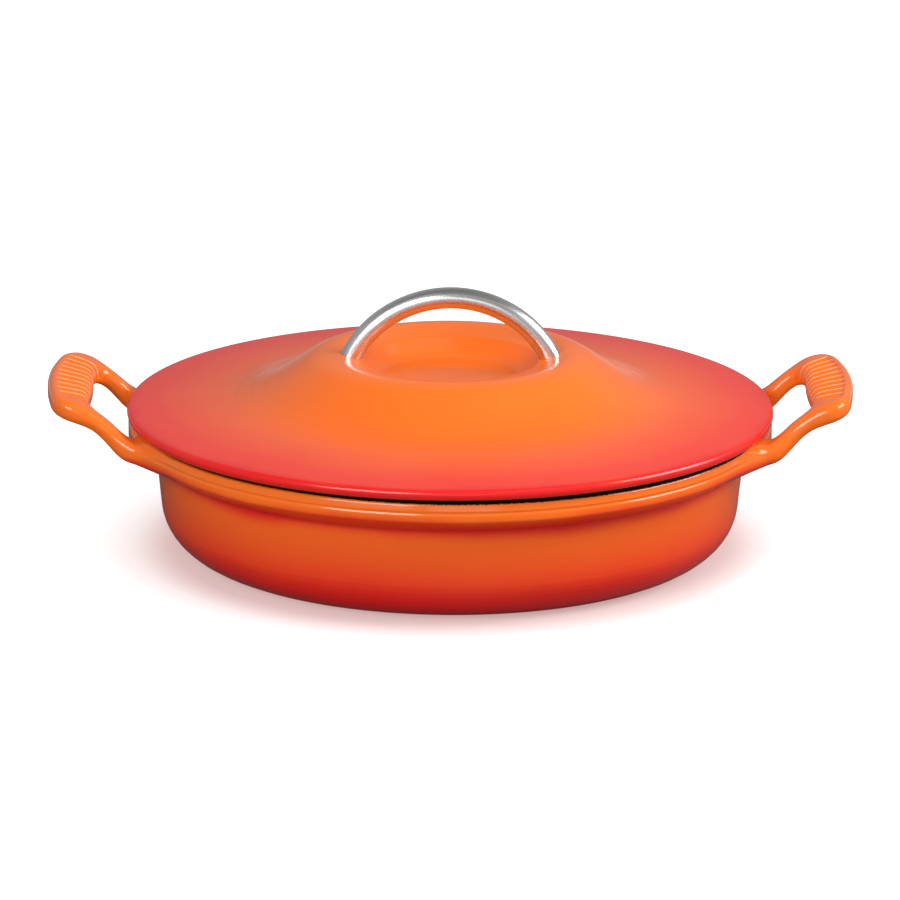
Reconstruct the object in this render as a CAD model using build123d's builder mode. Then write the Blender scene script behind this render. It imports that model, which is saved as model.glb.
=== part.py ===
"""Round cast-iron braiser with two loop handles and a lid with an arched rod handle.

Millimetres, +Z up. The origin is the centre of the flat base, on the surface
that the pan stands on, and the loop handles point along +X and -X.
"""

from build123d import *
from math import cos, hypot, radians, tan
import os

# Pot: the casting that stands on the hob
pot_height = 63.8
rim_radius = 154.3
rim_top_inset = 0.9
wall_foot_inset = 15.4
wall_draft = 5.5
wall_thickness = 3.3
floor_thickness = 3.8
base_corner_radius = 25.0
band_height = 8.8
undercut_height = 7.4
undercut_corner_radius = 3.0
band_lower_radius = 1.8
band_upper_radius = 1.2
mouth_corner_radius = 0.8
band_groove_depth = 0.5
band_groove_height = 1.2

# Loop handles, cast in one with the pot
handle_reach = 41.4
grip_half_width = 48.0
grip_rise = 22.2
handle_edge_radius = 3.6
handle_root_depth = 8.0
hole_gap = 2.6
hole_corner_radius = 4.2

# Finger grooves across the top of each grip
groove_count = 10
groove_pitch = 8.1
groove_width = 7.4
groove_depth = 0.8

# Lid: the second casting
lid_overhang = 3.2
lid_edge_height = 5.2
lid_edge_gap = 2.4
lid_wall = 3.3
lid_edge_radius = 2.5
flange_slope = 0.076
bearing_width = 10.0
bearing_relief = 1.4
locating_clearance = 1.0
locating_depth = 3.6
locating_width = 5.0
locating_draft = 0.6

# Hill and dish in the middle of the lid: widths from the lid's edge inwards, heights above it
flange_width = 60.1
hill_width = 34.3
hill_corner_rise = 26.8
hill_crest_fillet = 22.0
hill_foot_fillet = 60.0
land_width = 19.9
dish_edge_drop = 4.9
dish_wall_width = 7.2
dish_wall_drop = 8.6
dish_crown = 0.8
dish_edge_fillet = 2.4
dish_floor_fillet = 9.0
inner_corner_fillet = 1.5

# Arched rod handle of the lid
rod_diameter = 10.4
rod_foot_inset = 5.15
arch_rise = 29.0
rod_seat_depth = 4.0
rod_seat_clearance = 0.1

# Bosses under the lid, with the screws and washers that hold the rod
boss_diameter = 16.0
boss_length = 4.6
screw_diameter = 5.0
screw_clearance = 0.25
thread_clearance = 0.05
thread_depth = 9.0
thread_run_out = 1.5
screw_head_diameter = 9.4
screw_head_height = 3.0
screw_head_round = 1.1
drive_width = 3.0
drive_sides = 6
drive_depth = 1.7
washer_diameter = 12.0
washer_thickness = 1.0
overrun = 1.0


def parallel_corners(corners, gap):
    """Corners of the line that runs at one distance inside a cornered line."""
    sides = [(b - a).normalized() for a, b in zip(corners, corners[1:])]
    normals = [Vector(side.Y, -side.X) for side in sides]
    inner = [corners[0] + normals[0] * gap]
    for corner, before, after in zip(corners[1:], normals, normals[1:]):
        inner.append(corner + (before + after) * (gap / (1 + before.dot(after))))
    return inner + [corners[-1] + normals[-1] * gap]


# Pot

rim_top_radius = rim_radius - rim_top_inset
wall_foot_radius = rim_radius - wall_foot_inset
draft_slope = tan(radians(wall_draft))
band_bottom = pot_height - band_height
wall_top = band_bottom - undercut_height
inner_offset = wall_thickness / cos(radians(wall_draft))


def outer_wall(height):
    """Outer radius of the drafted wall at a height."""
    return wall_foot_radius + height * draft_slope


def inner_wall(height):
    """Inner radius of the drafted wall at a height."""
    return outer_wall(height) - inner_offset


mouth_radius = inner_wall(pot_height)
band_middle = pot_height - band_height / 2
groove_radius = rim_radius - band_groove_depth
half_groove = band_groove_height / 2

pot_section = [
    ((0, 0), 0),
    ((outer_wall(0), 0), base_corner_radius),
    ((outer_wall(wall_top), wall_top), undercut_corner_radius),
    ((rim_radius, band_bottom), band_lower_radius),
    ((rim_radius, band_middle - half_groove), 0),
    ((groove_radius, band_middle), 0),
    ((rim_radius, band_middle + half_groove), 0),
    ((rim_top_radius, pot_height), band_upper_radius),
    ((mouth_radius, pot_height), mouth_corner_radius),
    ((inner_wall(floor_thickness), floor_thickness), base_corner_radius - wall_thickness),
    ((0, floor_thickness), 0),
]

# Loop handle: an S-curved slab cut to a ring in plan, then rounded

grip_top = pot_height + grip_rise
slab_rise = grip_top - band_bottom

# Shares of the handle's reach and of the slab's rise
slab_top_shares = [
    (-1.0, 0.24), (-0.50, 0.24), (-0.12, 0.25), (0.06, 0.357), (0.22, 0.55), (0.38, 0.725),
    (0.54, 0.86), (0.70, 0.93), (0.86, 0.98), (1.0, 1.015), (1.14, 1.01),
]
slab_bottom_shares = [
    (-1.0, -0.063), (-0.50, -0.063), (-0.10, -0.063), (0.08, 0.0), (0.215, 0.156), (0.33, 0.324),
    (0.45, 0.462), (0.60, 0.558), (0.76, 0.62), (0.92, 0.64), (1.14, 0.625),
]
# Shares of the handle's reach and of the grip's half width
outer_plan_shares = [
    (1.0, 0.0), (0.988, 0.30), (0.942, 0.64), (0.875, 0.885), (0.74, 1.02), (0.515, 1.03),
    (0.29, 1.012), (0.08, 1.065), (-0.08, 1.115), (-0.215, 1.19), (-0.335, 1.29), (-0.49, 1.42),
    (-0.74, 1.62), (-0.92, 1.66),
]
hole_plan_shares = [
    (0.483, 0.0), (0.493, 0.34), (0.483, 0.62), (0.37, 0.797), (0.22, 0.798), (0.06, 0.812),
    (-0.12, 0.83), (-0.30, 0.87),
]
# Shares along the crown of the grip, which the finger grooves follow
groove_line_shares = [(0.46, 0.72), (0.64, 0.90), (0.86, 0.995)]


def slab_point(share):
    """Point of the slab's outline in the plane Y = 0."""
    return (rim_radius + share[0] * handle_reach, band_bottom + share[1] * slab_rise)


def plan_point(share, side=1):
    """Point of the ring's outline in plan."""
    return (rim_radius + share[0] * handle_reach, side * share[1] * grip_half_width)


def mirrored_plan(shares):
    """Points of a plan outline from one root, round the grip, to the other."""
    near = [plan_point(share, -1) for share in reversed(shares)]
    return near + [plan_point(share) for share in shares[1:]]


def farthest(edge):
    """Greatest distance of an edge's ends and middle from the pot's axis."""
    return max(hypot((edge @ share).X, (edge @ share).Y) for share in (0, 0.5, 1))


root_radius = rim_radius - handle_root_depth
hole_inner_radius = rim_radius + hole_gap
slab_span = 4 * grip_half_width
ring_height = grip_top + overrun - wall_top
upright_share = 0.95

with BuildPart() as loop_handle:
    with BuildSketch(Plane.XY.offset(wall_top)):
        with BuildLine():
            outer = Spline(*mirrored_plan(outer_plan_shares))
            Line(outer @ 1, outer @ 0)
        make_face()
        Circle(root_radius, mode=Mode.SUBTRACT)
    extrude(amount=ring_height)
    with BuildSketch(Plane.XY.offset(wall_top)):
        with BuildLine():
            inner = Spline(*mirrored_plan(hole_plan_shares))
            Line(inner @ 1, inner @ 0)
        make_face()
        Circle(hole_inner_radius, mode=Mode.SUBTRACT)
    extrude(amount=ring_height, mode=Mode.SUBTRACT)
    uprights = loop_handle.edges().filter_by(Axis.Z).sort_by(Axis.Y)
    hole_uprights = [edge for edge in uprights if farthest(edge) > rim_radius]
    fillet([hole_uprights[0], hole_uprights[-1]], radius=hole_corner_radius)
    with BuildSketch(Plane.XZ.offset(slab_span / 2)):
        with BuildLine():
            top = Spline(*[slab_point(share) for share in slab_top_shares])
            bottom = Spline(*[slab_point(share) for share in slab_bottom_shares])
            Line(top @ 0, bottom @ 0)
            Line(top @ 1, bottom @ 1)
        make_face()
    extrude(amount=-slab_span, mode=Mode.INTERSECT)
    ring_edges = [edge for edge in loop_handle.edges() if abs((edge % 0.5).Z) < upright_share]
    free_edges = [edge for edge in ring_edges if farthest(edge) > root_radius + overrun]
    fillet(free_edges, radius=handle_edge_radius)

# Groove cutter: a round bar that follows the crown of the grip and leaves it at both ends

groove_line = [slab_point(share) for share in groove_line_shares]
crown = ThreePointArc(*[(x, 0, z) for x, z in groove_line])
cutter_radius = (groove_width**2 / 4 + groove_depth**2) / (2 * groove_depth)
cutter_growth = (crown.radius + cutter_radius) / crown.radius

with BuildPart() as groove_cutter:
    with BuildLine():
        spokes = [crown @ share - crown.arc_center for share in (0, 0.5, 1)]
        bar = ThreePointArc(*[crown.arc_center + spoke * cutter_growth for spoke in spokes])
    with BuildSketch(Plane(origin=bar @ 0, z_dir=bar % 0)):
        Circle(cutter_radius)
    sweep()

with BuildPart() as grooved_handle:
    add(loop_handle.part)
    with GridLocations(0, groove_pitch, 1, groove_count):
        add(groove_cutter.part, mode=Mode.SUBTRACT)

with BuildPart() as pot:
    with BuildSketch(Plane.XZ):
        with BuildLine():
            FilletPolyline(
                *[point for point, radius in pot_section],
                radius=[radius for point, radius in pot_section],
                close=True,
            )
        make_face()
    revolve(axis=Axis.Z)
    add(grooved_handle.part)
    add(mirror(grooved_handle.part, about=Plane.YZ, mode=Mode.PRIVATE))

# Lid

lid_radius = rim_radius + lid_overhang
hill_foot_radius = lid_radius - flange_width
hill_corner_radius = hill_foot_radius - hill_width
dish_edge_radius = hill_corner_radius - land_width
dish_floor_radius = dish_edge_radius - dish_wall_width
lid_edge_bottom = pot_height + lid_edge_gap
lid_edge_top = lid_edge_bottom + lid_edge_height
hill_corner_height = lid_edge_top + hill_corner_rise
dish_edge_height = hill_corner_height - dish_edge_drop
dish_floor_height = dish_edge_height - dish_wall_drop


def flange_top(radius):
    """Height of the lid's flange at a radius."""
    return lid_edge_top + flange_slope * (lid_radius - lid_edge_height / 2 - radius)


lid_top = [
    Vector(0, dish_floor_height - dish_crown),
    Vector(dish_floor_radius, dish_floor_height),
    Vector(dish_edge_radius, dish_edge_height),
    Vector(hill_corner_radius, hill_corner_height),
    Vector(hill_foot_radius, flange_top(hill_foot_radius)),
    Vector(lid_radius, flange_top(lid_radius)),
]
lid_top_fillets = [
    0, dish_floor_fillet, dish_edge_fillet, hill_crest_fillet, hill_foot_fillet, lid_edge_radius,
]
lid_inside = parallel_corners(lid_top, lid_wall)[:-1]
lid_inside_fillets = [
    0, dish_floor_fillet + lid_wall, inner_corner_fillet,
    hill_crest_fillet - lid_wall, hill_foot_fillet + lid_wall,
]

# The flat bearing ring lies on the pot's rim, and the locating ring drops inside its mouth
locating_outer = mouth_radius - locating_clearance
locating_inner = locating_outer - locating_width
bearing_outer = mouth_radius + bearing_width
lid_edge = [
    ((lid_radius, lid_edge_bottom), lid_edge_radius),
    ((bearing_outer + bearing_relief, lid_edge_bottom), 0),
    ((bearing_outer, pot_height), 0),
    ((locating_outer, pot_height), 0),
    ((locating_outer - locating_draft, pot_height - locating_depth), 0),
    ((locating_inner, pot_height - locating_depth), 0),
    ((locating_inner - locating_draft, flange_top(locating_inner) - lid_wall), 0),
]
lid_section = (
    list(zip(lid_top, lid_top_fillets))
    + [(Vector(*point), radius) for point, radius in lid_edge]
    + list(zip(reversed(lid_inside), reversed(lid_inside_fillets)))
)

# Arched rod handle: an arc that stands on the land between the hill's crest and the dish

foot_reach = dish_edge_radius + rod_foot_inset
land_slope = dish_edge_drop / (hill_corner_radius - dish_edge_radius)
foot_height = dish_edge_height + land_slope * (foot_reach - dish_edge_radius)
rod_radius = rod_diameter / 2

arch_points = [(-foot_reach, 0, foot_height), (0, 0, foot_height + arch_rise), (foot_reach, 0, foot_height)]

with BuildLine() as rod_line:
    arch = ThreePointArc(*arch_points)
    left_end = Line(arch @ 0, arch @ 0 - (arch % 0) * rod_seat_depth)
    right_end = Line(arch @ 1, arch @ 1 + (arch % 1) * rod_seat_depth)

# Planes at the seated ends of the rod, facing down and outwards along its axis
end_planes = [
    Plane(origin=left_end @ 1, x_dir=(0, 1, 0), z_dir=left_end % 1),
    Plane(origin=right_end @ 1, x_dir=(0, 1, 0), z_dir=right_end % 1),
]
boss_radius = boss_diameter / 2
seat_radius = rod_radius + rod_seat_clearance
screw_radius = screw_diameter / 2
screw_hole_radius = screw_radius + screw_clearance
tapped_radius = screw_radius + thread_clearance

with BuildPart() as lid:
    with BuildSketch(Plane.XZ):
        with BuildLine():
            FilletPolyline(
                *[point for point, radius in lid_section],
                radius=[radius for point, radius in lid_section],
                close=True,
            )
        make_face()
    revolve(axis=Axis.Z)
    for plane in end_planes:
        with BuildSketch(plane):
            Circle(boss_radius)
        extrude(amount=boss_length)
        with BuildSketch(plane):
            Circle(seat_radius)
        extrude(amount=-rod_seat_depth - rod_diameter, mode=Mode.SUBTRACT)
        with BuildSketch(plane):
            Circle(screw_hole_radius)
        extrude(amount=boss_length + overrun, mode=Mode.SUBTRACT)

with BuildPart() as lid_handle:
    add(rod_line.line)
    with BuildSketch(end_planes[0]):
        Circle(rod_radius)
    sweep(path=rod_line.wires()[0])
    for plane in end_planes:
        with BuildSketch(plane):
            Circle(tapped_radius)
        extrude(amount=-thread_depth - thread_run_out, mode=Mode.SUBTRACT)

# Fasteners, seated on the bosses under the lid

with BuildPart() as handle_washers:
    for plane in end_planes:
        with BuildSketch(plane.offset(boss_length)):
            Circle(washer_diameter / 2)
            Circle(screw_hole_radius, mode=Mode.SUBTRACT)
        extrude(amount=washer_thickness)

head_base = boss_length + washer_thickness
head_top = head_base + screw_head_height

with BuildPart() as handle_screws:
    for plane in end_planes:
        with BuildSketch(plane.offset(-thread_depth)):
            Circle(screw_radius)
        extrude(amount=thread_depth + head_base)
        with BuildSketch(plane.offset(head_base)):
            Circle(screw_head_diameter / 2)
        extrude(amount=screw_head_height)
        head_edges = handle_screws.edges(Select.LAST).filter_by(GeomType.CIRCLE)
        head_rim = head_edges.sort_by(Axis(plane.origin, plane.z_dir))[-1]
        fillet(head_rim, radius=screw_head_round)
        with BuildSketch(plane.offset(head_top - drive_depth)):
            RegularPolygon(drive_width / 2, drive_sides, major_radius=False)
        extrude(amount=drive_depth + overrun, mode=Mode.SUBTRACT)

nodes = {
    "pot": pot,
    "lid": lid,
    "lid_handle": lid_handle,
    "handle_washers": handle_washers,
    "handle_screws": handle_screws,
}

os.makedirs("parts", exist_ok=True)
for name, builder in nodes.items():
    builder.part.label = name
    export_step(builder.part, f"parts/{name}.step")
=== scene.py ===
"""Round enamelled braiser with two loop handles and a lid with an arched steel rod.

Metres, +Z up, origin at the centre of the base. Each operator builds one piece, or a group of
like pieces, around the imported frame.
"""

from math import ceil, cos, degrees, hypot, pi, radians, sin, tan

import bpy
import numpy as np
from bpy.props import FloatProperty, FloatVectorProperty, PointerProperty
from bpy.types import Operator, Panel, PropertyGroup
from mathutils import Matrix, Vector


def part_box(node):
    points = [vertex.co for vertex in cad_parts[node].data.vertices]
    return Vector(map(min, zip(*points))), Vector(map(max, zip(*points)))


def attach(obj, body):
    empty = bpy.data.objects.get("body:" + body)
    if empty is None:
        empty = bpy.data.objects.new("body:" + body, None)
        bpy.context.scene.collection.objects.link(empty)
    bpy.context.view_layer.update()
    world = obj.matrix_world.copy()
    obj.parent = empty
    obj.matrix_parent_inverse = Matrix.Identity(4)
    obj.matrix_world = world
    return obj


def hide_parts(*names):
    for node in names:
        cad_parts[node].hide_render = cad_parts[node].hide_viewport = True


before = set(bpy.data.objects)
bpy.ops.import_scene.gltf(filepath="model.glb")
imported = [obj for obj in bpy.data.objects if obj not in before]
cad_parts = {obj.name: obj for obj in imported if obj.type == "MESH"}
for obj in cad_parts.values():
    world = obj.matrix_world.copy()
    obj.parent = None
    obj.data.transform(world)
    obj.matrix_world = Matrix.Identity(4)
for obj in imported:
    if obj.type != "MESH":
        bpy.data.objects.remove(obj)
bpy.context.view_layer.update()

bl_info = {
    "name": "Braiser builder",
    "version": (1, 0, 0),
    "blender": (4, 5, 0),
    "location": "3D View > Sidebar > Braiser",
    "description": "Builds an enamelled braiser, its lid and its steel handle",
    "category": "Add Mesh",
}

mm = 0.001


# Properties

def length(name, description, default):
    """A length in metres that a user may change."""
    return FloatProperty(
        name=name, description=description, default=default, min=0.0, unit="LENGTH", precision=4)


def colour(name, description, default):
    """A linear colour that a user may change."""
    return FloatVectorProperty(
        name=name, description=description, default=default, size=3, min=0.0, max=1.0,
        subtype="COLOR")


class PotSizes(PropertyGroup):
    """Sizes of the pot's body and rim band."""

    height: length("Height", "Base to the land on top of the rim", 63.8 * mm)
    rim_radius: length("Rim radius", "Outer radius of the rim band", 154.3 * mm)
    rim_top_radius: length(
        "Rim top radius", "Outer radius of the land on top of the rim", 153.4 * mm)
    foot_radius: length(
        "Foot radius", "Radius that the drafted wall would have at the base", 138.9 * mm)
    wall: length("Wall", "Thickness of the wall", 3.3 * mm)
    floor: length("Floor", "Thickness of the floor", 3.8 * mm)
    corner: length("Base corner", "Radius of the rounded corner at the base", 25.0 * mm)
    band_height: length("Band height", "Height of the rim band", 8.8 * mm)
    undercut: length("Undercut", "Height of the slope under the rim band", 7.4 * mm)


class GripSizes(PropertyGroup):
    """Sizes of a loop handle."""

    reach: length("Reach", "From the rim band to the handle's tip", 41.4 * mm)
    half_width: length("Half width", "Half the width of the grip", 48.0 * mm)
    rise: length("Rise", "From the rim's land up to the crown of the grip", 22.2 * mm)
    edge: length("Edge radius", "Rounding of the outer edges", 4.2 * mm)
    hole_edge: length("Hole edge radius", "Rounding of the finger hole's edges", 3.4 * mm)
    root: length("Root radius", "Rounding where the arms flow into the rim band", 7.0 * mm)
    web: length("Web", "From the rim band to the finger hole", 2.6 * mm)
    groove_pitch: length(
        "Groove pitch", "Distance between two ridges in the middle of the grip", 7.3 * mm)
    groove_depth: length("Groove depth", "Depth of the finger grooves", 1.3 * mm)


class LidSizes(PropertyGroup):
    """Sizes of the lid."""

    radius: length("Radius", "Outer radius of the lid", 157.5 * mm)
    edge_height: length("Edge height", "Height of the rounded edge", 5.2 * mm)
    edge_gap: length("Edge gap", "From the pot's land up to the underside of the edge", 2.4 * mm)
    wall: length("Wall", "Thickness of the lid", 3.3 * mm)
    hill_rise: length("Hill rise", "From the edge up to the corner of the hill", 26.8 * mm)
    hill_radius: length("Hill radius", "Radius of the corner of the hill", 63.1 * mm)
    hill_foot: length("Hill foot", "Radius at which the hill meets the flange", 97.4 * mm)
    dish_radius: length("Dish radius", "Radius of the dish's edge", 43.2 * mm)
    dish_depth: length("Dish depth", "From the dish's edge down to its floor", 8.6 * mm)


class RodSizes(PropertyGroup):
    """Sizes of the arched steel rod."""

    diameter: length("Diameter", "Diameter of the rod", 10.4 * mm)
    spread: length("Spread", "Distance between the feet, on the rod's centre line", 96.7 * mm)
    rise: length("Rise", "From the feet up to the crown, on the centre line", 28.98 * mm)


class FinishColours(PropertyGroup):
    """Colours of the finishes."""

    orange: colour("Orange", "Enamel on the middle of the lid and the grips", (0.92, 0.165, 0.012))
    red: colour("Red", "Enamel towards the edges", (0.82, 0.036, 0.012))
    # Crimson also lies under the rim band, partly as painted shade in the undercut.
    crimson: colour("Crimson", "Enamel on the very edges and at the base", (0.74, 0.004, 0.008))
    # Painted highlight along the crests of the grips' finger grooves.
    crest_highlight: colour("Crest", "Thin enamel on the crests of the grips", (1.0, 0.52, 0.30))
    rim_black: colour(
        "Rim black", "Matt enamel where the lid and the pot meet", (0.012, 0.010, 0.010))
    lining: colour("Lining", "Pale enamel inside the pot and under the lid", (0.72, 0.62, 0.47))
    steel: colour("Steel", "Brushed steel of the rod", (0.80, 0.79, 0.78))


class StageSettings(PropertyGroup):
    """Camera, floor and lamps."""

    distance: length("Camera distance", "From the camera to the point that it looks at", 2.5)
    elevation: FloatProperty(
        name="Camera elevation", description="Angle of the camera above the floor",
        default=radians(15.143), subtype="ANGLE")
    azimuth: FloatProperty(
        name="Camera azimuth", description="Angle of the camera round the object, towards +X",
        default=radians(-0.85), subtype="ANGLE")
    floor_size: length("Floor size", "Width of the pale floor", 14.0)
    floor_colour: colour("Floor", "Colour of the pale floor", (0.34, 0.34, 0.34))


class BraiserSettings(PropertyGroup):
    """Everything that a user would change."""

    pot: PointerProperty(type=PotSizes)
    grip: PointerProperty(type=GripSizes)
    lid: PointerProperty(type=LidSizes)
    rod: PointerProperty(type=RodSizes)
    finish: PointerProperty(type=FinishColours)
    stage: PointerProperty(type=StageSettings)


def settings():
    """The properties that a user may change."""
    return bpy.context.scene.braiser


# Fixed sizes of the castings

wall_draft = radians(5.5)
undercut_corner = 3.0 * mm
band_lower_corner = 1.8 * mm
band_upper_corner = 1.2 * mm
band_groove_depth = 0.5 * mm
band_groove_height = 2.0 * mm
band_groove_corner = 0.9 * mm
mouth_corner = 0.8 * mm
lid_edge_corner = 2.5 * mm
flange_slope = 0.076
hill_crest_corner = 22.0 * mm
hill_foot_corner = 60.0 * mm
dish_edge_drop = 4.9 * mm
dish_floor_share = 0.8333
dish_crown = 0.8 * mm
dish_edge_corner = 2.4 * mm
dish_floor_corner = 9.0 * mm
bearing_width = 10.0 * mm
bearing_relief = 1.4 * mm
locating_clearance = 1.0 * mm
locating_depth = 3.6 * mm
locating_width = 5.0 * mm
locating_draft = 0.6 * mm
small_corner = 0.5 * mm

# Fineness of the outlines and meshes

arc_step = radians(7.5)
arc_least_steps = 3
run_step = 4.0 * mm
run_margin = 0.5 * mm
turn_steps = 384
lid_turn_steps = 352
spline_steps = 120
skin_rounds = 3
slope_step = 0.02 * mm
least_steepness = 0.05
least_length = 1e-12
least_area = 1e-18
axis_width = 1e-7


# Outlines

def rounded(corners):
    """Points along a cornered outline with each corner rounded to its own radius."""
    points = []
    for index, (corner, radius) in enumerate(corners):
        here = Vector(corner)
        if radius == 0 or index in (0, len(corners) - 1):
            points.append(here)
            continue
        to_last = (Vector(corners[index - 1][0]) - here).normalized()
        to_next = (Vector(corners[index + 1][0]) - here).normalized()
        half = to_last.angle(to_next) / 2
        centre = here + (to_last + to_next).normalized() * (radius / sin(half))
        start = here + to_last * (radius / tan(half)) - centre
        end = here + to_next * (radius / tan(half)) - centre
        turn = pi - 2 * half
        steps = max(arc_least_steps, ceil(turn / arc_step))
        for step in range(steps + 1):
            share = step / steps
            spoke = start * sin((1 - share) * turn) + end * sin(share * turn)
            points.append(centre + spoke / sin(turn))
    return points


def with_support(points):
    """The same outline with its long straight runs divided, so that they are shaded flat."""
    made = [points[0]]
    for last, here in zip(points, points[1:]):
        run = (here - last).length
        if run > 3 * run_margin:
            inner = run - 2 * run_margin
            steps = max(1, ceil(inner / run_step))
            for step in range(steps + 1):
                made.append(last.lerp(here, (run_margin + inner * step / steps) / run))
        made.append(here)
    return made


def nearest_point(outline, place):
    """Number of the outline's point that is nearest to a place."""
    return min(range(len(outline)), key=lambda number: (outline[number] - Vector(place)).length)


def parallel_corners(corners, gap):
    """Corners of the line that runs at one distance inside a cornered line."""
    sides = [(b - a).normalized() for a, b in zip(corners, corners[1:])]
    normals = [Vector((side.y, -side.x)) for side in sides]
    inner = [corners[0] + normals[0] * gap]
    for corner, before, after in zip(corners[1:], normals, normals[1:]):
        inner.append(corner + (before + after) * (gap / (1 + before.dot(after))))
    return inner + [corners[-1] + normals[-1] * gap]


def spline_through(points, steps):
    """Natural cubic spline through a few points, as many finer points."""
    points = np.array(points, float)
    chord = np.hypot(*np.diff(points, axis=0).T)
    knots = np.concatenate([[0], np.cumsum(chord)])
    count = len(points)
    system = np.eye(count)
    right = np.zeros((count, 2))
    for i in range(1, count - 1):
        system[i, i - 1:i + 2] = chord[i - 1], 2 * (chord[i - 1] + chord[i]), chord[i]
        ahead = (points[i + 1] - points[i]) / chord[i]
        behind = (points[i] - points[i - 1]) / chord[i - 1]
        right[i] = 6 * (ahead - behind)
    bend = np.linalg.solve(system, right)
    at = np.linspace(0, knots[-1], steps)
    k = np.clip(np.searchsorted(knots, at, side="right") - 1, 0, count - 2)
    span = chord[k][:, None]
    a = (knots[k + 1] - at)[:, None] / span
    b = 1 - a
    curve = ((a**3 - a) * bend[k] + (b**3 - b) * bend[k + 1]) * span**2 / 6
    return a * points[k] + b * points[k + 1] + curve


# Meshes

def new_piece(name, verts, faces, materials, face_materials=None):
    """A smooth mesh object at the origin, linked to the scene."""
    mesh = bpy.data.meshes.new(name)
    mesh.from_pydata(verts, [], faces)
    for material in materials:
        mesh.materials.append(material)
    if face_materials is not None:
        mesh.polygons.foreach_set("material_index", face_materials)
    mesh.polygons.foreach_set("use_smooth", [True] * len(mesh.polygons))
    mesh.validate()
    piece = bpy.data.objects.new(name, mesh)
    bpy.context.scene.collection.objects.link(piece)
    return piece


def revolved(outline, run_slots, left_out=None, steps=turn_steps):
    """Vertices, faces and face materials of an outline of (radius, height) turned about Z.

    run_slots gives the material slot of each run of the outline. left_out, where it is given,
    says by a run's number and a face's angle which faces aren't made.
    """
    verts, rings = [], []
    for point in outline:
        if point.x < axis_width:
            rings.append([len(verts)] * steps)
            verts.append((0, 0, point.y))
            continue
        rings.append(range(len(verts), len(verts) + steps))
        angles = [2 * pi * step / steps for step in range(steps)]
        verts += [(point.x * cos(angle), point.x * sin(angle), point.y) for angle in angles]
    faces, slots = [], []
    for run, (lower, upper) in enumerate(zip(rings, rings[1:])):
        for step in range(steps):
            if left_out and left_out(run, 2 * pi * (step + 0.5) / steps):
                continue
            following = (step + 1) % steps
            corners = [lower[step], lower[following], upper[following], upper[step]]
            faces.append(list(dict.fromkeys(corners)))
            slots.append(run_slots[run])
    return verts, faces, slots


def distance_to(outline, x, y):
    """Signed distance to a closed plane outline, below zero inside it."""
    outline = np.asarray(outline, float)
    ends = np.roll(outline, -1, axis=0)
    shape = np.broadcast(x, y).shape
    nearest = np.full(shape, np.inf)
    inside = np.zeros(shape, bool)
    for (ax, ay), (bx, by) in zip(outline, ends):
        dx, dy = bx - ax, by - ay
        share = np.clip(((x - ax) * dx + (y - ay) * dy) / (dx * dx + dy * dy + least_area), 0, 1)
        nearest = np.minimum(nearest, (x - ax - share * dx) ** 2 + (y - ay - share * dy) ** 2)
        if dy:
            inside ^= ((ay > y) != (by > y)) & (x < ax + (y - ay) * dx / dy)
    nearest = np.sqrt(nearest)
    return np.where(inside, -nearest, nearest)


def rounded_cut(a, b, radius):
    """Field of what two fields share, with the corner between them rounded."""
    outer = np.hypot(np.maximum(a + radius, 0), np.maximum(b + radius, 0))
    return np.minimum(np.maximum(a, b), -radius) + outer


def rounded_join(a, b, radius):
    """Field of two fields joined, with a fillet between them."""
    return -rounded_cut(-a, -b, radius)


def skin(field, low, high, step):
    """Quads of the surface on which a field is zero.

    Each grid cell that the surface crosses gets one corner, drawn onto the surface along the
    field's slope.
    """
    axes = [np.arange(a, b, step) for a, b in zip(low, high)]
    grid = field(*np.meshgrid(*axes, indexing="ij", sparse=True))
    inside = grid < 0
    total = np.zeros([n - 1 for n in grid.shape] + [3])
    count = np.zeros([n - 1 for n in grid.shape])
    quads = []
    for axis in range(3):
        first = [slice(None)] * 3
        second = [slice(None)] * 3
        first[axis], second[axis] = slice(None, -1), slice(1, None)
        a, b = grid[tuple(first)], grid[tuple(second)]
        crossing = np.argwhere(inside[tuple(first)] != inside[tuple(second)])
        values = a[tuple(crossing.T)] / (a[tuple(crossing.T)] - b[tuple(crossing.T)])
        place = crossing.astype(float)
        place[:, axis] += values
        u, v = (axis + 1) % 3, (axis + 2) % 3
        cells = []
        for du, dv in ((0, 0), (-1, 0), (-1, -1), (0, -1)):
            cell = crossing.copy()
            cell[:, u] += du
            cell[:, v] += dv
            cells.append(cell)
        whole = np.ones(len(crossing), bool)
        for cell in cells:
            whole &= (cell >= 0).all(1) & (cell < np.array(count.shape)).all(1)
        for cell in cells:
            np.add.at(total, tuple(cell[whole].T), place[whole])
            np.add.at(count, tuple(cell[whole].T), 1)
        quad = np.stack([np.ravel_multi_index(cell[whole].T, count.shape) for cell in cells], 1)
        outward = inside[tuple(first)][tuple(crossing[whole].T)]
        quad[~outward] = quad[~outward][:, ::-1]
        quads.append(quad)
    quads = np.concatenate(quads)
    used, quads = np.unique(quads, return_inverse=True)
    quads = quads.reshape(-1, 4)
    flat_count = count.reshape(-1)[used][:, None]
    points = np.array(low) + step * total.reshape(-1, 3)[used] / flat_count
    for _ in range(skin_rounds):
        points -= pull(field, points, step)
    return points, quads


def pull(field, points, step):
    """Step along the field's slope that brings points onto its surface."""
    value = field(*points.T)
    moved = [field(*(points + axis * slope_step).T) for axis in np.eye(3)]
    slope = np.stack([(other - value) / slope_step for other in moved], 1)
    steepness = np.maximum((slope**2).sum(1), least_steepness)
    move = slope * (value / steepness)[:, None]
    reach = np.maximum(np.hypot(np.hypot(*move.T[:2]), move.T[2]), least_length)
    return move * np.minimum(1, step / reach)[:, None]


# Shapes. The tables of the loop handle are shares of its reach, from the rim band outwards, and of
# its rise above the band's bottom or of its half width.

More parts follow.
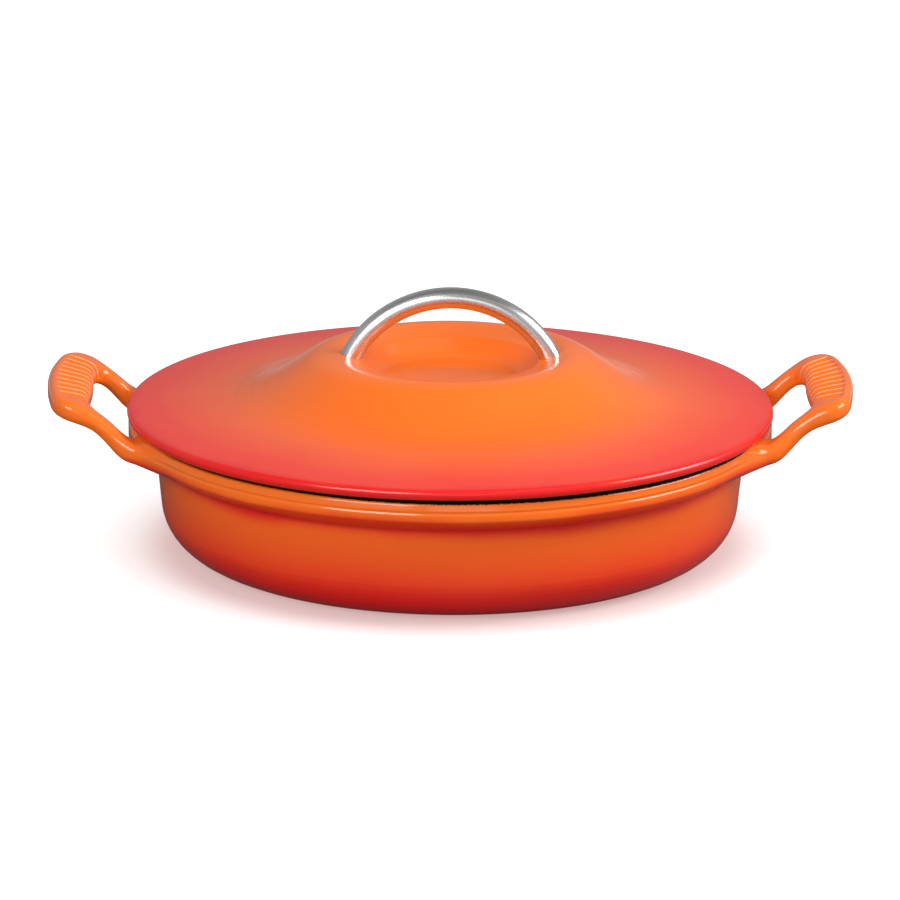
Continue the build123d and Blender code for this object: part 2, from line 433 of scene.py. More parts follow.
grip_slab_top = [
    (-1.0, 0.24), (-0.50, 0.24), (-0.12, 0.25), (0.06, 0.357), (0.22, 0.55), (0.38, 0.725),
    (0.54, 0.86), (0.70, 0.93), (0.86, 0.98), (1.0, 1.015), (1.14, 1.01),
]
grip_slab_bottom = [
    (-1.0, -0.063), (-0.50, -0.063), (-0.10, -0.063), (0.08, 0.0), (0.215, 0.156), (0.33, 0.324),
    (0.45, 0.462), (0.60, 0.558), (0.76, 0.62), (0.92, 0.64), (1.14, 0.625),
]
grip_outer_plan = [
    (1.0, 0.0), (0.988, 0.30), (0.942, 0.64), (0.875, 0.885), (0.74, 1.02), (0.515, 1.03),
    (0.29, 1.012), (0.08, 1.065), (-0.08, 1.115), (-0.215, 1.19), (-0.335, 1.285), (-0.49, 1.40),
    (-0.72, 1.50), (-0.98, 1.48),
]
grip_hole_plan = [
    (0.483, 0.0), (0.493, 0.34), (0.483, 0.62), (0.37, 0.797), (0.22, 0.798), (0.06, 0.812),
    (-0.12, 0.83), (-0.30, 0.87),
]
grip_hole_corner = 4.2 * mm
groove_count = 10
groove_middle_share = 0.66
groove_fan = 9.0
groove_start_shares = (0.30, 0.40)
groove_sharpness = 0.5
groove_border = (3.6 * mm, 6.4 * mm)
groove_fade = (2.5 * mm, 8.0 * mm)

# The part of the pot's wall and rim that is meshed together with a loop handle

patch_low = 44.0 * mm
patch_land = 151.5 * mm
patch_cut_steps = 39
patch_half_width = 96.0 * mm
patch_step = 0.6 * mm
patch_sink = 0.01 * mm
patch_overlap = 1.0 * mm
patch_overlap_below = 1.5 * mm
patch_land_depth = 5.0 * mm
patch_grid_radius = 112 * mm
patch_grid_half_width = 100 * mm
patch_grid_bottom = 40 * mm
patch_grid_margin = 2 * mm


def wall_radius(pot, height):
    """Outer radius of the pot's drafted wall at a height."""
    return pot.foot_radius + height * tan(wall_draft)


def pot_outline(pot):
    """Half section of the pot, from the base's middle round the rim to the floor's middle."""
    inner = pot.wall / cos(wall_draft)
    band_bottom = pot.height - pot.band_height
    band_middle = pot.height - pot.band_height / 2
    wall_top = band_bottom - pot.undercut
    half_groove = band_groove_height / 2
    mouth = wall_radius(pot, pot.height) - inner
    return with_support(rounded([
        ((0, 0), 0),
        ((wall_radius(pot, 0), 0), pot.corner),
        ((wall_radius(pot, patch_low), patch_low), 0),
        ((wall_radius(pot, wall_top), wall_top), undercut_corner),
        ((pot.rim_radius, band_bottom), band_lower_corner),
        ((pot.rim_radius, band_middle - half_groove), band_groove_corner),
        ((pot.rim_radius - band_groove_depth, band_middle), band_groove_corner),
        ((pot.rim_radius, band_middle + half_groove), band_groove_corner),
        ((pot.rim_top_radius, pot.height), band_upper_corner),
        ((patch_land, pot.height), 0),
        ((mouth, pot.height), mouth_corner),
        ((wall_radius(pot, pot.floor) - inner, pot.floor), pot.corner - pot.wall),
        ((0, pot.floor), 0),
    ]))


def shared_points(shares, origin, reach, rise):
    """Points of an outline that is given in shares of a reach and a rise."""
    return [(origin[0] + along * reach, origin[1] + across * rise) for along, across in shares]


def smooth(low, high, value):
    """Smooth step from 0 at one value to 1 at another."""
    share = np.clip((value - low) / (high - low), 0, 1)
    return share * share * (3 - 2 * share)


def grip_field(pot, grip):
    """Field of the loop handle at +X, filleted to the rim band, and where it is grooved."""
    band_bottom = pot.height - pot.band_height
    rise = grip.rise + pot.band_height
    corner = (pot.rim_radius, band_bottom)
    top = spline_through(shared_points(grip_slab_top, corner, grip.reach, rise), spline_steps)
    bottom = spline_through(shared_points(grip_slab_bottom, corner, grip.reach, rise), spline_steps)
    slab_outline = np.concatenate([top, bottom[::-1]])

    def mirrored(shares):
        half = shared_points(shares, (pot.rim_radius, 0), grip.reach, grip.half_width)
        near = [(x, -y) for x, y in reversed(half)]
        return spline_through(near + half[1:], spline_steps)

    outer_outline = mirrored(grip_outer_plan)
    hole_outline = mirrored(grip_hole_plan)
    band = pot_outline(pot)
    low_end = nearest_point(band, (wall_radius(pot, patch_low), patch_low))
    band = band[low_end + 1:nearest_point(band, (patch_land, pot.height)) + 1]
    sunk_radius = wall_radius(pot, patch_low) - pot.wall
    sunk = [(sunk_radius, pot.height), (sunk_radius, 0)]
    foot = [(wall_radius(pot, 0), 0), (wall_radius(pot, patch_low), patch_low)]
    band_outline = foot + [tuple(point) for point in band] + sunk
    ridge_middle = pot.rim_radius + groove_middle_share * grip.reach

    def groove_turn(x, y):
        return y / (grip.groove_pitch * (1 + groove_fan * (x - ridge_middle)))

    def groove_reach(x, plan, z):
        below = np.interp(x, top[:, 0], top[:, 1]) - z
        starts = [pot.rim_radius + share * grip.reach for share in groove_start_shares]
        past_hole = smooth(*starts, x)
        return smooth(*groove_border, -plan) * (1 - smooth(*groove_fade, below)) * past_hole

    def grooved(x, y, z):
        inside_border = groove_reach(x, distance_to(outer_outline, x, y), z)
        return inside_border * (np.abs(groove_turn(x, y)) < groove_count / 2)

    def field(x, y, z):
        radius = np.hypot(x, y)
        plan = distance_to(outer_outline, x, y)
        slab = distance_to(slab_outline, x, z)
        plate = rounded_cut(plan, slab, grip.edge)
        turn = groove_turn(x, y)
        wave = np.abs(np.sin(pi * turn)) ** (2 * groove_sharpness)
        scallop = np.where(np.abs(turn) < groove_count / 2, wave, 0)
        plate = plate + grip.groove_depth * scallop * groove_reach(x, plan, z)
        rim = distance_to(band_outline, radius, z) + patch_sink
        joined = rounded_join(plate, rim, grip.root)
        web = pot.rim_radius + grip.web - radius
        hole = rounded_cut(distance_to(hole_outline, x, y), web, grip_hole_corner)
        return rounded_cut(joined, -hole, grip.hole_edge)

    return field, grooved


def lid_outline(lid, pot):
    """Half section of the lid, from the dish's middle round the edge and back underneath."""
    edge_bottom = pot.height + lid.edge_gap
    edge_top = edge_bottom + lid.edge_height

    def flange(radius):
        return edge_top + flange_slope * (lid.radius - lid.edge_height / 2 - radius)

    hill_top = edge_top + lid.hill_rise
    dish_edge = hill_top - dish_edge_drop
    dish_floor = dish_edge - lid.dish_depth
    top = [
        Vector((0, dish_floor - dish_crown)),
        Vector((lid.dish_radius * dish_floor_share, dish_floor)),
        Vector((lid.dish_radius, dish_edge)),
        Vector((lid.hill_radius, hill_top)),
        Vector((lid.hill_foot, flange(lid.hill_foot))),
        Vector((lid.radius, flange(lid.radius))),
    ]
    top_corners = [
        0, dish_floor_corner, dish_edge_corner, hill_crest_corner, hill_foot_corner,
        lid_edge_corner]
    inside = parallel_corners(top, lid.wall)[:-1]
    inside_corners = [
        0, dish_floor_corner + lid.wall, small_corner, hill_crest_corner - lid.wall,
        hill_foot_corner + lid.wall]
    mouth = wall_radius(pot, pot.height) - pot.wall / cos(wall_draft)
    ring_outer = mouth - locating_clearance
    ring_inner = ring_outer - locating_width
    bearing = mouth + bearing_width
    edge = [
        ((lid.radius, edge_bottom), lid_edge_corner),
        ((bearing + bearing_relief, edge_bottom), small_corner),
        ((bearing, pot.height), small_corner),
        ((ring_outer, pot.height), small_corner),
        ((ring_outer - locating_draft, pot.height - locating_depth), small_corner),
        ((ring_inner, pot.height - locating_depth), small_corner),
        ((ring_inner - locating_draft, flange(ring_inner) - lid.wall), small_corner),
    ]
    back = zip(reversed(inside), reversed(inside_corners))
    return with_support(rounded([*zip(top, top_corners), *edge, *back]))


rod_steps = 97
rod_seat = 4.0 * mm
rod_turn_steps = 64
boss_radius = 8.0 * mm
boss_root_radius = 9.4 * mm
boss_length = 4.6 * mm
boss_root = 0.4 * mm
boss_steps = 72
boss_corner = 0.8 * mm
screw_hole_radius = 2.75 * mm


def arch_radius(rod):
    """Radius of the rod's centre line."""
    foot = rod.spread / 2
    return (foot**2 + rod.rise**2) / (2 * rod.rise)


def rod_line(rod, lid, pot):
    """Centre line of the arched rod: points, from one seated end to the other."""
    foot = rod.spread / 2
    land = dish_edge_drop / (lid.hill_radius - lid.dish_radius)
    edge_top = pot.height + lid.edge_gap + lid.edge_height
    foot_height = edge_top + lid.hill_rise - dish_edge_drop + land * (foot - lid.dish_radius)
    radius = arch_radius(rod)
    centre = foot_height + rod.rise - radius
    half_turn = np.arcsin(foot / radius)
    points = []
    for share in np.linspace(-1, 1, rod_steps):
        angle = share * half_turn
        points.append(Vector((radius * sin(angle), 0, centre + radius * cos(angle))))
    ends = [
        points[0] + (points[0] - points[1]).normalized() * rod_seat,
        points[-1] + (points[-1] - points[-2]).normalized() * rod_seat,
    ]
    return [ends[0]] + points + [ends[1]]


def tube(points, radius, steps):
    """Vertices and faces of a round bar in the plane Y = 0 along points, closed at both ends."""
    across = Vector((0, 1, 0))
    verts, faces = [], []
    for index, point in enumerate(points):
        ahead = points[min(index + 1, len(points) - 1)] - points[max(index - 1, 0)]
        side = ahead.normalized().cross(across)
        for step in range(steps):
            angle = 2 * pi * step / steps
            verts.append(point + across * (radius * cos(angle)) + side * (radius * sin(angle)))
    for ring in range(len(points) - 1):
        for step in range(steps):
            a = ring * steps + step
            b = ring * steps + (step + 1) % steps
            faces.append((a, b, b + steps, a + steps))
    last = (len(points) - 1) * steps
    faces.append(tuple(reversed(range(steps))))
    faces.append(tuple(range(last, last + steps)))
    return verts, faces


# Materials

def node(tree, kind, inputs=None, **choices):
    """A shader node with its choices and inputs, where an input may be another node's output."""
    made = tree.nodes.new(kind)
    for name, value in choices.items():
        setattr(made, name, value)
    for name, value in (inputs or {}).items():
        if isinstance(value, bpy.types.NodeSocket):
            tree.links.new(value, made.inputs[name])
        else:
            made.inputs[name].default_value = value
    return made


def calc(tree, operation, *values):
    """Output of a math node."""
    return node(tree, "ShaderNodeMath", dict(enumerate(values)), operation=operation).outputs[0]


def remap(tree, value, low, high, to_low=0.0, to_high=1.0):
    """Output of a value mapped from one range onto another and kept inside it."""
    inputs = {
        "Value": value, "From Min": low, "From Max": high, "To Min": to_low, "To Max": to_high}
    return node(tree, "ShaderNodeMapRange", inputs).outputs["Result"]


def blank_material(name):
    """A material with only its surface shader: the material, its tree and the shader."""
    material = bpy.data.materials.new(name)
    material.use_nodes = True
    tree = material.node_tree
    tree.nodes.clear()
    shader = node(tree, "ShaderNodeBsdfPrincipled")
    node(tree, "ShaderNodeOutputMaterial", {"Surface": shader.outputs[0]})
    return material, tree, shader


def connect(tree, shader, **values):
    """Links or sets inputs of a shader by names with underscores for spaces."""
    for name, value in values.items():
        socket = shader.inputs[name.replace("_", " ")]
        if isinstance(value, bpy.types.NodeSocket):
            tree.links.new(value, socket)
        else:
            socket.default_value = value


def noise(tree, spot, scale, detail=2.0):
    """Output of a plain noise, from 0 to 1."""
    inputs = {"Vector": spot, "Scale": scale, "Detail": detail}
    return node(tree, "ShaderNodeTexNoise", inputs).outputs["Fac"]


def coordinates(tree, kind="Object"):
    """A place, and its X, Y and Z."""
    spot = node(tree, "ShaderNodeTexCoord").outputs[kind]
    return spot, node(tree, "ShaderNodeSeparateXYZ", {0: spot}).outputs


def distance_off(tree, **parts):
    """Distance from an axis, from the two parts of a place that lie across it."""
    flat = node(tree, "ShaderNodeCombineXYZ", parts).outputs[0]
    return node(tree, "ShaderNodeVectorMath", {0: flat}, operation="LENGTH").outputs["Value"]


def places(tree):
    """Object coordinates, distance from the Z axis, and height."""
    spot, split = coordinates(tree)
    return spot, distance_off(tree, X=split["X"], Y=split["Y"]), split["Z"]


def relief(tree, height, depth):
    """Normal of a surface with a fine relief on it."""
    inputs = {"Height": height, "Distance": depth, "Strength": 1.0}
    return node(tree, "ShaderNodeBump", inputs).outputs["Normal"]


most_linear_stops = 3


def ramp(tree, value, stops):
    """Colour that runs through stops of (place, linear colour), softly where there are many."""
    made = node(tree, "ShaderNodeValToRGB", {"Fac": value})
    band = made.color_ramp
    band.interpolation = "B_SPLINE" if len(stops) > most_linear_stops else "LINEAR"
    for index, (place, shade) in enumerate(stops):
        stop = band.elements[index] if index < 2 else band.elements.new(place)
        stop.position = place
        stop.color = (*shade, 1)
    return made.outputs["Color"]


mix_colour_inputs = (6, 7)
mix_colour_output = 2


def mix(tree, factor, a, b):
    """Colour between two colours."""
    made = node(tree, "ShaderNodeMix", {"Factor": factor}, data_type="RGBA")
    for index, value in zip(mix_colour_inputs, (a, b)):
        if isinstance(value, bpy.types.NodeSocket):
            tree.links.new(value, made.inputs[index])
        else:
            made.inputs[index].default_value = (*value, 1)
    return made.outputs[mix_colour_output]


groove_layer = "groove_reach"
# Width and fade of the painted highlight on the grips' crests.
crest_highlight_width = 0.34
crest_highlight_fade = (0.1, 0.6)
peel_scale = 330.0
peel_depth = 0.012 * mm
peel_detail = 3.0
cloud_scale = 16.0
cloud_drift = 0.07
speck_scale = 900.0
speck_detail = 4.0
speck_range = (0.25, 0.75)
speck_height = 6.0
enamel_roughness = (0.06, 0.20)
lid_roughness = (0.19, 0.27)
enamel_ior = 1.5
pot_enamel_height = 60 * mm
lid_enamel_start = 50 * mm
lining_shade = 0.94
rim_black_drop = 0.35 * mm
rim_black_lean = 0.3
rim_black_reach = 0.3 * mm
rim_black_unevenness = 3.0 * mm
lid_black_rise = 0.15 * mm
rim_speck_depth = 0.9 * mm
rim_edge_width = 0.12 * mm
rim_roughness = 0.5
streak_squeeze = 0.0008
streak_scale = 2200.0
streak_detail = 4.0
streak_range = (0.3, 0.7)
streak_depth = 0.006 * mm
streak_shades = (0.86, 1.1)
streak_roughness = (-0.05, 0.06)
steel_cloud_scale = 60.0
steel_cloud_roughness = (-0.03, 0.03)
rod_roughness = 0.27
fastener_roughness = 0.32
fastener_shade = 0.9


def enamel(
        name, along, low, high, stops, rim=None, rim_colour=None, gloss=enamel_roughness,
        grip=None):
    """Glossy enamel that shades from colour to colour along the height or the radius.

    rim, where it is given, is a function of the tree, the radius and the height: the matt rim
    enamel lies where it is above zero. grip, where it is given, is the loop handle whose crests
    carry a painted highlight.
    """
    material, tree, shader = blank_material(name)
    spot, radius, height = places(tree)
    cloud = noise(tree, spot, cloud_scale)
    drift = remap(tree, cloud, 0.0, 1.0, -cloud_drift, cloud_drift)
    share = remap(tree, {"radius": radius, "height": height}[along], low, high)
    shade = ramp(tree, calc(tree, "ADD", share, drift), stops)
    # Painted highlight along the crests of the grips.
    if grip:
        shade = mix(tree, painted_crest_highlights(tree, grip), shade, settings().finish.crest_highlight)
    peel = noise(tree, spot, peel_scale, peel_detail)
    roughness = remap(tree, cloud, 0.0, 1.0, *gloss)
    if rim:
        speck = noise(tree, spot, speck_scale, speck_detail)
        wobble = remap(tree, speck, *speck_range, -rim_speck_depth / 2, rim_speck_depth / 2)
        mask = remap(tree, calc(tree, "ADD", rim(tree, radius, height), wobble), 0, rim_edge_width)
        shade = mix(tree, mask, shade, rim_colour)
        rough = remap(tree, mask, 0, 1, 0, rim_roughness)
        roughness = calc(tree, "MAXIMUM", roughness, rough)
        grit = calc(tree, "MULTIPLY", mask, calc(tree, "MULTIPLY", speck, speck_height))
        peel = calc(tree, "ADD", peel, grit)
    connect(
        tree, shader, Base_Color=shade, Roughness=roughness,
        Normal=relief(tree, peel, peel_depth), IOR=enamel_ior)
    return material


def brushed_steel(name, base, centre_height, roughness):
    """Steel with fine streaks that run round an arch in the plane Y = 0."""
    material, tree, shader = blank_material(name)
    spot, split = coordinates(tree)
    lift = calc(tree, "SUBTRACT", split["Z"], centre_height)
    turn = calc(tree, "ARCTAN2", split["X"], lift)
    along = calc(tree, "MULTIPLY", turn, streak_squeeze)
    squeezed = {"X": along, "Y": split["Y"], "Z": distance_off(tree, X=split["X"], Z=lift)}
    grain_spot = node(tree, "ShaderNodeCombineXYZ", squeezed).outputs[0]
    streaks = noise(tree, grain_spot, streak_scale, streak_detail)
    cloud = noise(tree, spot, steel_cloud_scale)
    rough = calc(
        tree, "ADD", remap(tree, streaks, *streak_range, *streak_roughness),
        remap(tree, cloud, *streak_range, *steel_cloud_roughness))
    dark, light = ([min(1, c * share) for c in base] for share in streak_shades)
    shade = mix(tree, remap(tree, streaks, *streak_range), dark, light)
    connect(
        tree, shader, Base_Color=shade, Metallic=1.0, Roughness=calc(tree, "ADD", rough, roughness),
        Normal=relief(tree, streaks, streak_depth))
    return material


def pot_rim(tree, radius, height):
    """Above zero on the rim's land, less far out towards -X, and just inside the mouth."""
    pot = settings().pot
    lift = calc(tree, "SUBTRACT", height, pot.height - rim_black_drop)
    inward = calc(tree, "SUBTRACT", pot.rim_top_radius, radius)
    lean = calc(tree, "MULTIPLY", inward, rim_black_lean)
    within = calc(tree, "SUBTRACT", pot.rim_top_radius + rim_black_reach, radius)
    split = coordinates(tree)[1]
    short = remap(tree, split["X"], 0, -pot.rim_radius, 0, rim_black_unevenness)
    return calc(
        tree, "MINIMUM", calc(tree, "ADD", lift, lean), calc(tree, "SUBTRACT", within, short))


def lid_rim(tree, radius, height):
    """Above zero on the underside of the lid's edge."""
    sizes = settings()
    return calc(tree, "SUBTRACT", sizes.pot.height + sizes.lid.edge_gap + lid_black_rise, height)


def painted_crest_highlights(tree, grip):
    """From 0 to 1 along the painted highlight on the crests between the finger grooves."""
    split = coordinates(tree)[1]
    middle = settings().pot.rim_radius + groove_middle_share * grip.reach
    out = calc(tree, "SUBTRACT", calc(tree, "ABSOLUTE", split["X"]), middle)
    pitch = calc(tree, "MULTIPLY_ADD", out, grip.groove_pitch * groove_fan, grip.groove_pitch)
    turn = calc(tree, "MULTIPLY", calc(tree, "DIVIDE", split["Y"], pitch), pi)
    crest_highlight = remap(tree, calc(tree, "ABSOLUTE", calc(tree, "SINE", turn)), crest_highlight_width, 0)
    reach = node(tree, "ShaderNodeAttribute", attribute_name=groove_layer).outputs["Fac"]
    return calc(tree, "MULTIPLY", crest_highlight, remap(tree, reach, *crest_highlight_fade))


def pot_enamel(grip=None):
    """Enamel outside the pot, and on its handles with painted highlights on their crests."""
    finish = settings().finish
    # Crimson from 0.79 to 0.90 of the height lies under the rim band: partly the enamel's own deep
    # red, partly painted shade in the undercut.
    stops = [
        (0.0, finish.crimson), (0.14, finish.crimson), (0.34, finish.red), (0.70, finish.orange),
        (0.79, finish.crimson), (0.90, finish.crimson), (0.96, finish.orange), (1.0, finish.orange)]
    name = "flame_enamel_grips" if grip else "flame_enamel_pot"
    return enamel(
        name, "height", 0.0, pot_enamel_height, stops, pot_rim, finish.rim_black, grip=grip)


def lining_enamel(name, along, high, rim=None, rim_colour=None):
    """Pale enamel inside, slightly darker towards the top or the edge."""
    finish = settings().finish
    stops = [(0.0, finish.lining), (1.0, [c * lining_shade for c in finish.lining])]
    return enamel(name, along, 0.0, high, stops, rim, rim_colour)


# Operators

class BRAISER_OT_pot(Operator):
    """Build the pot's body and rim band"""

    bl_idname = "braiser.pot"
    bl_label = "Pot"

    def execute(self, context):
        pot = settings().pot
        outline = pot_outline(pot)
        cut = patch_cut_steps * 2 * pi / turn_steps
        low_end = nearest_point(outline, (wall_radius(pot, patch_low), patch_low))
        land_end = nearest_point(outline, (patch_land, pot.height))

        def under_handles(run, angle):
            return low_end <= run < land_end and min(angle % pi, pi - angle % pi) < cut

        run_slots = [0 if run < land_end else 1 for run in range(len(outline))]
        verts, faces, slots = revolved(outline, run_slots, under_handles)
        outside = pot_enamel()
        lining = lining_enamel(
            "lining_enamel_pot", "height", pot_enamel_height, pot_rim, settings().finish.rim_black)
        body = new_piece("pot_body", verts, faces, [outside, lining], slots)
        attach(body, "pot")
        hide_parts("pot")
        return {"FINISHED"}


class BRAISER_OT_loop_handles(Operator):
    """Build both loop handles with their finger grooves"""

    bl_idname = "braiser.loop_handles"
    bl_label = "Loop handles"

    def execute(self, context):
        pot, grip = settings().pot, settings().grip
        field, grooved = grip_field(pot, grip)
        low = (patch_grid_radius, -patch_grid_half_width, patch_grid_bottom)
        high = (
            pot.rim_radius + grip.reach + patch_grid_margin, patch_grid_half_width,
            pot.height + grip.rise + patch_grid_margin)
        points, quads = skin(field, low, high, patch_step)
        middle = points[quads].mean(1)
        radius = np.hypot(middle[:, 0], middle[:, 1])
        shown = np.abs(middle[:, 1]) < patch_half_width - patch_overlap
        shown &= middle[:, 2] > patch_low - patch_overlap_below
        below_land = middle[:, 2] < pot.height - patch_land_depth
        shown &= (radius > patch_land - patch_overlap) | below_land
        shown &= radius > wall_radius(pot, patch_low) - patch_overlap
        quads = quads[shown]
        used, quads = np.unique(quads, return_inverse=True)
        points, quads = points[used], quads.reshape(-1, 4)
        reach = grooved(*points.T)
        material = pot_enamel(grip)
        for name, side in (("right_loop_handle", 1), ("left_loop_handle", -1)):
            turned = points * np.array([side, side, 1])
            piece = new_piece(name, turned.tolist(), quads.tolist(), [material])
            layer = piece.data.attributes.new(groove_layer, "FLOAT", "POINT")
            layer.data.foreach_set("value", reach)
            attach(piece, "pot")
            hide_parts("pot")
        return {"FINISHED"}


class BRAISER_OT_lid(Operator):
    """Build the lid with its hill, dish and the bosses under it"""

    bl_idname = "braiser.lid"
    bl_label = "Lid"

    def execute(self, context):
        sizes, finish = settings(), settings().finish
        outline = lid_outline(sizes.lid, sizes.pot)
        edge_bottom = sizes.pot.height + sizes.lid.edge_gap
        mouth = wall_radius(sizes.pot, sizes.pot.height) - sizes.pot.wall / cos(wall_draft)
        ring_inner = mouth - locating_clearance - locating_width
        edge_end = nearest_point(outline, (sizes.lid.radius - lid_edge_corner, edge_bottom))
        ring_end = nearest_point(outline, (ring_inner, sizes.pot.height))
        stops = [
            (0.0, finish.orange), (0.42, finish.orange), (0.80, finish.red), (0.95, finish.red),
            (1.0, finish.crimson)]
        outside = enamel(
            "flame_enamel_lid", "radius", lid_enamel_start, sizes.lid.radius, stops, lid_rim,
            finish.rim_black, lid_roughness)
        black = enamel(
            "rim_enamel_lid", "radius", 0, 1, [(0, finish.rim_black), (1, finish.rim_black)])
        lining = lining_enamel("lining_enamel_lid", "radius", sizes.lid.radius)
        run_slots = [
            0 if run < edge_end else 1 if run < ring_end else 2 for run in range(len(outline))]
        verts, faces, slots = revolved(outline, run_slots, steps=lid_turn_steps)
        faces = [face[::-1] for face in faces]
        cover = new_piece("lid_cover", verts, faces, [outside, black, lining], slots)
        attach(cover, "lid")
        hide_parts("lid")
        line = rod_line(sizes.rod, sizes.lid, sizes.pot)
        boss_outline = with_support(rounded([
            ((0, -boss_root), 0),
            ((boss_root_radius, -boss_root), 0),
            ((boss_radius, boss_length), boss_corner),
            ((screw_hole_radius, boss_length), 0),
            ((screw_hole_radius, 0), 0),
            ((0, 0), 0),
        ]))
        feet = (("left_boss", line[0], line[1]), ("right_boss", line[-1], line[-2]))
        for name, end, inward in feet:
            verts, faces, slots = revolved(boss_outline, [0] * len(boss_outline), steps=boss_steps)
            turn = Vector((0, 0, 1)).rotation_difference(end - inward)
            verts = [end + turn @ Vector(vert) for vert in verts]
            boss = new_piece(name, verts, faces, [lining])
            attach(boss, "lid")
        return {"FINISHED"}


class BRAISER_OT_rod_handle(Operator):
    """Build the arched steel rod"""

    bl_idname = "braiser.rod_handle"
    bl_label = "Rod handle"

    def execute(self, context):
        sizes = settings()
        line = rod_line(sizes.rod, sizes.lid, sizes.pot)
        verts, faces = tube(line, sizes.rod.diameter / 2, rod_turn_steps)
        centre_height = max(point.z for point in line) - arch_radius(sizes.rod)
        steel = brushed_steel("brushed_steel_rod", sizes.finish.steel, centre_height, rod_roughness)
        rod = new_piece("arched_rod", verts, faces, [steel])
        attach(rod, "lid")
        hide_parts("lid_handle")
        return {"FINISHED"}


class BRAISER_OT_fasteners(Operator):
    """Give the screws and washers under the lid their steel"""

    bl_idname = "braiser.fasteners"
    bl_label = "Screws and washers"

    def execute(self, context):
        finish = settings().finish
        for name in ("handle_screws", "handle_washers"):
            middle = sum(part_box(name), Vector()) / 2
            shade = [c * fastener_shade for c in finish.steel]
            steel = brushed_steel("steel_" + name, shade, middle.z, fastener_roughness)
            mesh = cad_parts[name].data
            mesh.materials.clear()
            mesh.materials.append(steel)
        return {"FINISHED"}


# Stage

# Floor glow seen by the camera, by share of the distance from the middle: dim and reddish near the
# pot as a painted contact shadow with painted red bounce light, white further out.
floor_glow_painted_shadow_stops = [
    (0.0, (0.50, 0.30, 0.28)), (0.27, (0.50, 0.30, 0.28)), (0.31, (0.78, 0.71, 0.70)),
    (0.37, (0.98, 0.975, 0.975)), (1.0, (1.0, 1.0, 1.0)),
]
floor_painted_shadow_reach = 0.5
# In reflections the floor is darker and its glow fades out near the pot: painted shade on the floor
# as the pot's surfaces reflect it.
mirror_glow_painted_shade = (0.02, 0.55)
mirror_painted_shade_reach = (0.35, 1.4)
mirror_painted_shade_colour = (0.12, 0.12, 0.12)
floor_roughness = 0.9
world_stops = [
    (0.0, (0.20, 0.20, 0.21)), (0.50, (0.27, 0.28, 0.31)), (0.55, (0.22, 0.23, 0.25)),
    (0.62, (0.30, 0.30, 0.32)), (0.72, (0.42, 0.42, 0.42)), (0.85, (0.30, 0.30, 0.30)),
    (1.0, (0.18, 0.18, 0.18)),
]
aim_height = 70 * mm
camera_focal = 5122.4
image_size = 900
sensor_width = 36.0
camera_sight = 100
camera_drop = radians(0.511)
camera_roll = radians(0.335)

# Name, azimuth and elevation in degrees, distance, width and height in metres, watts, seen in gloss
lamps = [
    ("key_softbox", 44, 60, 1.0, 0.8, 0.8, 4.6, False),
    ("front_softbox", 4, 12, 2.2, 0.9, 0.5, 1.8, True),
    ("left_softbox", -29, 25, 1.7, 0.9, 0.7, 15.5, True),
    ("right_softbox", 84, 27, 1.6, 1.0, 0.7, 19.0, True),
]


def direction(azimuth, elevation):
    """Unit vector towards a place round the object: azimuth 0 is the camera's side, 90 is +X."""
    a, e = radians(azimuth), radians(elevation)
    return Vector((sin(a) * cos(e), -cos(a) * cos(e), sin(e)))


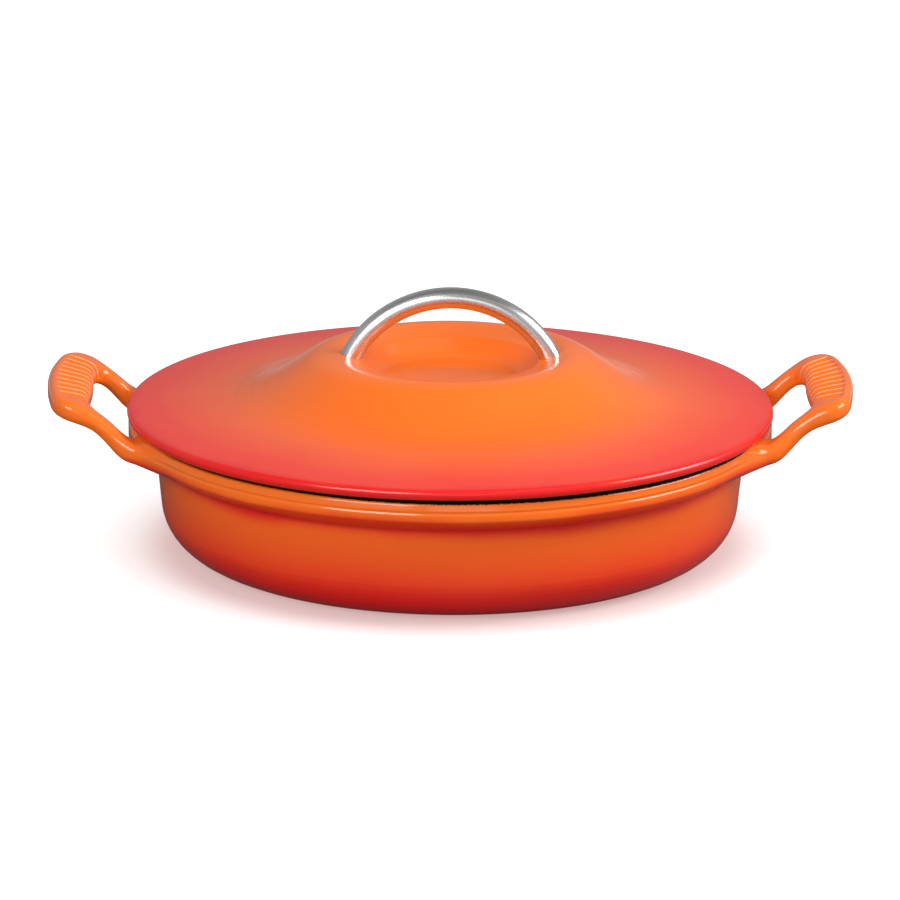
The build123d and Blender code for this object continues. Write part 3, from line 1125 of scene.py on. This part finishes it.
class BRAISER_OT_stage(Operator):
    """Build the floor, the soft lamps and the camera"""

    bl_idname = "braiser.stage"
    bl_label = "Stage"

    def execute(self, context):
        scene, stage = context.scene, settings().stage
        half = stage.floor_size / 2
        material, tree, shader = blank_material("pale_floor")
        rays = node(tree, "ShaderNodeLightPath").outputs
        away = places(tree)[1]
        # The glow that the camera sees holds a painted contact shadow, dim and reddish round the
        # pot.
        glow = ramp(tree, remap(tree, away, 0, floor_painted_shadow_reach), floor_glow_painted_shadow_stops)
        # Reflections see a darker floor whose glow fades near the pot, as painted shade.
        mirrored = calc(tree, "MAXIMUM", rays["Is Glossy Ray"], rays["Is Transmission Ray"])
        mirror_glow_with_painted_shade = remap(tree, away, *mirror_painted_shade_reach, *mirror_glow_painted_shade)
        dim = calc(tree, "MULTIPLY", mirrored, mirror_glow_with_painted_shade)
        connect(
            tree, shader, Base_Color=mix(tree, mirrored, stage.floor_colour, mirror_painted_shade_colour),
            Roughness=floor_roughness, Specular_IOR_Level=0.0,
            Emission_Color=mix(tree, mirrored, glow, (1, 1, 1)),
            Emission_Strength=calc(tree, "ADD", rays["Is Camera Ray"], dim))
        floor = new_piece(
            "pale_floor", [(-half, -half, 0), (half, -half, 0), (half, half, 0), (-half, half, 0)],
            [(0, 1, 2, 3)], [material])

        world = bpy.data.worlds.new("soft_studio")
        world.use_nodes = True
        tree = world.node_tree
        tree.nodes.clear()
        height = coordinates(tree, "Generated")[1]["Z"]
        shade = ramp(tree, remap(tree, height, -1, 1), world_stops)
        glow = node(tree, "ShaderNodeBackground", {"Color": shade, "Strength": 1.0})
        node(tree, "ShaderNodeOutputWorld", {"Surface": glow.outputs[0]})
        scene.world = world

        aim = Vector((0, 0, aim_height))
        for name, azimuth, elevation, away, width, height, power, mirrored in lamps:
            lamp = bpy.data.lights.new(name, "AREA")
            lamp.shape = "RECTANGLE"
            lamp.size, lamp.size_y = width, height
            lamp.energy = power
            held = bpy.data.objects.new(name, lamp)
            towards = direction(azimuth, elevation)
            held.location = aim + towards * away
            held.rotation_euler = towards.to_track_quat("Z", "Y").to_euler()
            held.visible_glossy = mirrored
            scene.collection.objects.link(held)

        camera = bpy.data.objects.new("camera", bpy.data.cameras.new("camera"))
        camera.data.sensor_width = sensor_width
        camera.data.lens = camera_focal * sensor_width / image_size
        camera.data.clip_end = camera_sight
        lean = Matrix.Rotation(pi / 2 - stage.elevation - camera_drop, 4, "X")
        turn = Matrix.Rotation(stage.azimuth, 4, "Z") @ lean @ Matrix.Rotation(camera_roll, 4, "Z")
        seat = aim + stage.distance * direction(degrees(stage.azimuth), degrees(stage.elevation))
        camera.matrix_world = Matrix.Translation(seat) @ turn
        scene.collection.objects.link(camera)
        scene.camera = camera
        scene.view_settings.view_transform = "Standard"
        return {"FINISHED"}


operators = (
    BRAISER_OT_stage, BRAISER_OT_pot, BRAISER_OT_loop_handles, BRAISER_OT_lid,
    BRAISER_OT_rod_handle, BRAISER_OT_fasteners,
)


class BRAISER_PT_parts(Panel):
    """Buttons that build the braiser"""

    bl_idname = "BRAISER_PT_parts"
    bl_label = "Braiser"
    bl_space_type = "VIEW_3D"
    bl_region_type = "UI"
    bl_category = "Braiser"

    def draw(self, context):
        for operator in operators:
            self.layout.operator(operator.bl_idname)


classes = (
    PotSizes, GripSizes, LidSizes, RodSizes, FinishColours, StageSettings, BraiserSettings,
    *operators, BRAISER_PT_parts,
)


def register():
    """Register the properties, operators and panel."""
    for item in classes:
        bpy.utils.register_class(item)
    bpy.types.Scene.braiser = PointerProperty(type=BraiserSettings)


def unregister():
    """Undo register."""
    del bpy.types.Scene.braiser
    for item in reversed(classes):
        bpy.utils.unregister_class(item)


def main():
    """Build everything."""
    register()
    for operator in operators:
        group, name = operator.bl_idname.split(".")
        getattr(getattr(bpy.ops, group), name)()


if __name__ == "__main__":
    main()
